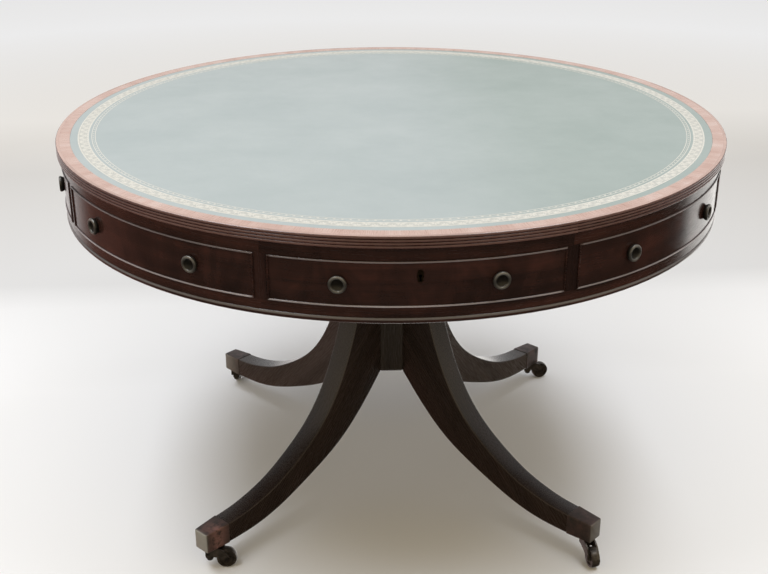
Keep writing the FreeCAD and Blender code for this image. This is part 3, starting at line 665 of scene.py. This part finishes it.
drawer_sides = {"front": 0, "right": 90, "back": 180, "left": 270}
drawer_bead, drawer_bead_highlight = cockbead_frame(drawer_reach, drawer_levels)
for side, degrees in drawer_sides.items():
    body = "drawer_" + side
    dress(front_mahogany, body + "_panel")
    bead = lofted("cockbead_" + body, turned(drawer_bead, degrees), bead_mahogany, closed=True,
                  wear_and_highlight=drawer_bead_highlight)
    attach(bead, body)
    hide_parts(body + "_cockbeads")
dummy_sides = {"front_right": 45, "back_right": 135, "back_left": 225, "front_left": 315}
dummy_bead, dummy_bead_highlight = cockbead_frame(dummy_reach, dummy_levels)
dummy_slab = front_slab(dummy_reach, dummy_levels)
for side, degrees in dummy_sides.items():
    node = "dummy_front_" + side
    slab = lofted("panel_" + node, turned(dummy_slab, degrees), front_mahogany)
    bead = lofted("cockbead_" + node, turned(dummy_bead, degrees), bead_mahogany, closed=True,
                  wear_and_highlight=dummy_bead_highlight)
    for piece in (slab, bead):
        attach(piece, "drum")
        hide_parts(node)

# Drawer boxes: plain unpolished timber, sides dovetailed into the front, the bottom in grooves.
# Each drawer has a brass lock let into the back of its front and a keyhole lined with brass.
lock_brass = aged_metal("lock_brass", (0.020, 0.015, 0.011), (0.075, 0.058, 0.040),
                        roughness=0.40, patch_size=0.008)
for side in drawer_sides:
    dress(plain_timber, "drawer_" + side + "_box")
    dress(lock_brass, "drawer_" + side + "_lock")

# Knobs: low bronze rings about a dished face, turned and then pegged into the fronts, two to each.
# They are nearly black, with bare metal where fingers grip the rims, and a painted highlight on the top and
# bottom of each rim.
knob_angle_deg = 11.3
knob_level = 673.5 * mm
knob_rise = 8.5 * mm
knob_foot = 11.5 * mm
knob_peg = 4.5 * mm
knob_peg_end = -15.0 * mm
rim_middle = 11.5 * mm
rim_half = 2.5 * mm
dish_floor = 3.6 * mm


def knob_rings():
    """A knob on the front of the drum, as rings about its level axis. Its outline runs from the peg to a
    side that swells as a sine, over a half-round rim and down into a dish that is part of a sphere."""
    swell = np.linspace(0, math.pi / 2, 8)
    over = np.linspace(0, math.pi, 13)[1:]
    inward = np.linspace(1, 0, 8)[1:]
    lip = rim_middle - rim_half
    rim_rise = knob_rise - rim_half
    sag = rim_rise - dish_floor
    sphere = (lip ** 2 + sag ** 2) / (2 * sag)
    dish_rise = dish_floor + sphere - np.sqrt(sphere ** 2 - (inward * lip) ** 2)
    side_out = knob_foot + (rim_middle + rim_half - knob_foot) * np.sin(swell)
    out = np.concatenate([[0, knob_peg, knob_peg], side_out, rim_middle + rim_half * np.cos(over),
                          inward * lip])[:, None]
    rise = np.concatenate([[knob_peg_end, knob_peg_end, 0], rim_rise * swell / swell[-1],
                           rim_rise + rim_half * np.sin(over), dish_rise])[:, None]
    around = np.linspace(0, 2 * math.pi, 32, endpoint=False)
    # The swell and rim are partly rubbed and partly painted with highlights, strongest at the top and bottom
    # of the ring
    wear_and_highlight = np.concatenate([np.zeros(3), 0.35 * np.sin(swell) ** 4, 0.2 + 0.8 * np.sin(over), 0 * inward])
    grip_and_highlight = 0.30 + 0.55 * np.sin(around) ** 2 + 0.15 * np.sin(around)
    rings = np.stack(np.broadcast_arrays(out * np.cos(around), -frieze_radius - rise,
                                         knob_level + out * np.sin(around)), axis=-1)
    return rings, wear_and_highlight[:, None] * grip_and_highlight


grip_and_highlight_tone = (0.215, 0.205, 0.185)
knob_bronze = aged_metal("knob_bronze", (0.010, 0.009, 0.007), (0.024, 0.021, 0.017),
                         roughness=0.34, patch_size=0.012, metallic=0.6, worn_faded_and_highlit=[(stored_wear_and_highlight, grip_and_highlight_tone)])
knob, knob_wear_and_highlight = knob_rings()
knob_fronts = [("drawer_" + side, "drawer_" + side + "_knobs", turn) for side, turn in drawer_sides.items()]
knob_fronts += [("drum", "dummy_knobs", turn) for turn in dummy_sides.values()]
for body, node, degrees in knob_fronts:
    for hand, offset_deg in (("left", -knob_angle_deg), ("right", knob_angle_deg)):
        name = "_".join(("ring_knob", str(degrees), hand))
        ring_knob = lofted(name, turned(knob, degrees + offset_deg), knob_bronze, wear_and_highlight=knob_wear_and_highlight)
        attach(ring_knob, body)
        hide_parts(node)

# Crossband and reeded lipping: a mahogany border laid with its grain running out to the rim, and a strip
# bent round the edge. Sun has faded both to a pinkish tan on top, the reeds have kept their polish, and
# their crests carry a painted highlight.
top_level = 750.0 * mm


def outward_grain(tree):
    """Metres out from the middle, then round the rim, then up."""
    parts = place_parts(tree)
    around = maths(tree, "MULTIPLY", maths(tree, "ARCTAN2", parts["X"], parts["Y"]), frieze_radius)
    return add(tree, "CombineXYZ", {"X": out_from_axis(tree, parts), "Y": around,
                                    "Z": parts["Z"]}).outputs["Vector"]


faded_tones = ((0.348, 0.220, 0.176), (0.400, 0.274, 0.226), (0.446, 0.334, 0.288))
faded_crossband = mahogany("faded_crossband", outward_grain, faded_tones, figure_share=0.30, roughness=0.26)
dress(faded_crossband, "crossband_border")
rim_radius = 610.0 * mm
reed_tones = ((0.028, 0.0078, 0.0060), (0.046, 0.0128, 0.0100), (0.068, 0.0200, 0.0158))
# The reed crests are painted with a highlight of this tone
reed_highlight_tone = (0.106, 0.056, 0.046)


def on_the_land(tree):
    """The flat top of the lipping, which the sun has faded with the crossband."""
    return faded(tree, place_parts(tree)["Z"], top_level - 0.5 * mm, top_level - 0.1 * mm)


def reed_crest_highlights(tree):
    """A painted highlight on the crests of the reeds, as a share that grows with the distance from the axis.
    """
    out = out_from_axis(tree, place_parts(tree))
    return faded(tree, out, rim_radius - 1.2 * mm, rim_radius - 0.2 * mm)


reed_mahogany = mahogany("reed_mahogany", round_grain, reed_tones, figure_share=0.15, roughness=0.22,
                         worn_faded_and_highlit=[(reed_crest_highlights, reed_highlight_tone), (on_the_land, faded_tones[1])])
dress(reed_mahogany, "reeded_edge")

# Leather: a pale grey-green skin glued into the top and pressed down along the tooled lines. It is
# faintly mottled and darker on the right as painted shade, with a fine pebbled grain and a waxed sheen.
leather_radius = 585.0 * mm
leather_level = top_level - 0.25 * mm
press_depth = 0.22 * mm
tooled_radii = np.array([569.8, 554.2, 544.0]) * mm
press_width = 1.4 * mm
leather_underside = 748.5 * mm
leather_edge = leather_level - 0.5 * mm
tooled_from = 530.0 * mm
plain_to = 520.0 * mm
# The skin is a section carried round the middle, with more rings where it is tooled. Each line presses
# it in by a bell curve of the distance from the line.
fine_out = np.linspace(tooled_from, leather_radius - 1.0 * mm, 90)
face_out = np.concatenate([[leather_radius - 0.4 * mm], fine_out[::-1], np.linspace(plain_to, 0, 40)])
press = np.exp(-((face_out[:, None] - tooled_radii) / press_width) ** 2).sum(axis=1) * press_depth
leather_out = np.concatenate([[0, leather_radius, leather_radius], face_out])
leather_height = np.concatenate([[leather_underside, leather_underside, leather_edge],
                                 leather_level - press])
leather_turn = np.linspace(0, 2 * math.pi, 256, endpoint=False)
leather_ring = on_drum(leather_out, leather_turn[:, None], leather_height)

leather, tree, shader = blank_finish("tooled_leather", {"Specular IOR Level": 0.40})
on_skin = add(tree, "TexCoord").outputs["Object"]
mottle = add(tree, "TexNoise", {"Vector": on_skin, "Scale": 7.0, "Detail": 7.0, "Roughness": 0.6})
pebbles = add(tree, "TexVoronoi", {"Vector": on_skin, "Scale": 850.0})
creases = add(tree, "TexNoise", {"Vector": on_skin, "Scale": 260.0, "Detail": 3.0})
pale = ramp(tree, mottle.outputs["Fac"], (0.30, (0.274, 0.306, 0.297)), (0.72, (0.312, 0.342, 0.331)))
right_painted_shade = ramp(tree, mottle.outputs["Fac"], (0.30, (0.224, 0.262, 0.240)), (0.72, (0.258, 0.294, 0.272)))
# The skin darkens towards the right by this mix: painted shade
across = add(tree, "SeparateXYZ", {"Vector": on_skin}).outputs["X"]
unshaded_to = -0.02
painted_shade_from = 0.30
skin = mixed(tree, faded(tree, across, unshaded_to, painted_shade_from), pale, right_painted_shade)
tree.links.new(skin, shader.inputs["Base Color"])
wax = add(tree, "MapRange", {"Value": mottle.outputs["Fac"], "From Min": 0.3, "From Max": 0.7,
                             "To Min": 0.46, "To Max": 0.36})
tree.links.new(wax.outputs["Result"], shader.inputs["Roughness"])
crease_share = 0.6
relief = maths(tree, "MULTIPLY_ADD", creases.outputs["Fac"], crease_share, pebbles.outputs["Distance"])
pebbled = add(tree, "Bump", {"Height": relief, "Strength": 0.16, "Distance": 0.0004})
tree.links.new(pebbled.outputs["Normal"], shader.inputs["Normal"])
skin_piece = lofted("leather_skin", leather_ring, leather, closed=True, sharp_deg=50.0)
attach(skin_piece, "drum")
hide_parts("leather_inset")

# Gilt tooling: gold leaf struck into the leather with hot brass wheels. Plain fillets edge a band of
# palmettes that stand and hang by turns on thin gold, and a row of dots runs inside it.
gilt_level = leather_level - 0.05 * mm
gilt_half = 0.12 * mm
leaf_crest = 0.20 * mm


def gilt_leaves(base_out, base_turn, lean_deg, length, width):
    """Leaves lying on the leather: each leans from the outward direction by its angle, swells as the
    sine of its length and has a four-sided section. The last two axes are its stations and section."""
    station = np.linspace(0, 1, 6)
    swell = np.sin(math.pi * station) ** 0.8
    lean = np.radians(lean_deg)[..., None, None]
    along = (station * np.asarray(length)[..., None])[..., None]
    side = np.asarray(width)[..., None, None] / 2 * swell[:, None] * np.array([1, 0, -1, 0])
    lift = swell[:, None] * np.array([0, 1, 0, -1]) * leaf_crest
    out = base_out[..., None, None] + along * np.cos(lean) - side * np.sin(lean)
    round_by = along * np.sin(lean) + side * np.cos(lean)
    turn = base_turn[..., None, None] + round_by / out
    return on_drum(out, turn, gilt_level + lift)


def many(name, strips, material):
    """One piece of many small closed strips, each made of stations of a ring of points."""
    strips = strips.reshape(-1, *strips.shape[-3:])
    number, stations, around = strips.shape[:3]
    index = np.arange(number * stations * around).reshape(number, stations, around)
    here, there = index[:, :-1], index[:, 1:]
    quads = np.stack([here, np.roll(here, -1, axis=2), np.roll(there, -1, axis=2), there], axis=-1)
    mesh = bpy.data.meshes.new(name)
    mesh.from_pydata(strips.reshape(-1, 3).tolist(), [], quads.reshape(-1, 4).tolist())
    closed_up(mesh, 1e-7)
    return piece_of(name, mesh, material)


gold_leaf = aged_metal("gold_leaf", (0.525, 0.502, 0.438), (0.625, 0.602, 0.530),
                       roughness=0.38, patch_size=0.006, metallic=0.3)
thin_gold = aged_metal("thin_gold", (0.385, 0.382, 0.342), (0.495, 0.484, 0.428),
                       roughness=0.42, patch_size=0.004, metallic=0.3)


def gilt_sprays(name, count, first_turn, start_out, lean_deg, length_mm, width_mm):
    """Sprays of leaves, struck at even steps round the top from first_turn on. The leaves of a spray
    all start at one point, at the distance start_out from the middle."""
    turn = np.arange(count) * 2 * math.pi / count + first_turn
    base_out = np.full((count, len(lean_deg)), start_out)
    base_turn = np.broadcast_to(turn[:, None], base_out.shape)
    leaves = gilt_leaves(base_out, base_turn, np.array(lean_deg), np.array(length_mm) * mm,
                         np.array(width_mm) * mm)
    return many(name, leaves, gold_leaf)


palmette_count = 141
palmette_foot = 554.8 * mm
palmettes = gilt_sprays("gilt_palmettes", palmette_count, 0.0, palmette_foot,
                        lean_deg=(-62, -32, 0, 32, 62, -90, 90),
                        length_mm=(9.6, 12.4, 13.8, 12.4, 9.6, 12.4, 12.4),
                        width_mm=(4.8, 5.4, 5.8, 5.4, 4.8, 3.6, 3.6))
drop_head = 569.4 * mm
drops = gilt_sprays("gilt_drops", palmette_count, math.pi / palmette_count, drop_head,
                    lean_deg=(125, 152, 180, 208, 235),
                    length_mm=(10.0, 11.6, 12.4, 11.6, 10.0),
                    width_mm=(4.8, 5.2, 5.4, 5.2, 4.8))
dot_start = 542.6 * mm
dots = gilt_sprays("gilt_dots", 2 * palmette_count, 0.0, dot_start,
                   lean_deg=(0,), length_mm=(2.8,), width_mm=(4.6,))


def gilt_ring(name, inner, outer, half, gold):
    """A flat band of gold round the top: a four-cornered section carried round a circle."""
    section_out = np.array([inner, outer, outer, inner])
    section_level = gilt_level + np.array([-half, -half, half, half])
    return lofted(name, on_drum(section_out, leather_turn[:, None], section_level), gold, closed=True)


gilt_pieces = [palmettes, drops, dots]
band_inner = 554.0 * mm
band_outer = 569.2 * mm
ground_half = gilt_half - 0.02 * mm
gilt_pieces.append(gilt_ring("gilt_ground", band_inner, band_outer, ground_half, thin_gold))
fillet_edges = ((band_outer, 571.4 * mm), (552.0 * mm, band_inner),
                (546.2 * mm, 547.4 * mm), (540.2 * mm, 541.4 * mm))
for number, (inner, outer) in enumerate(fillet_edges):
    name = "gilt_fillet_" + str(number + 1)
    gilt_pieces.append(gilt_ring(name, inner, outer, gilt_half, gold_leaf))
for piece in gilt_pieces:
    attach(piece, "drum")
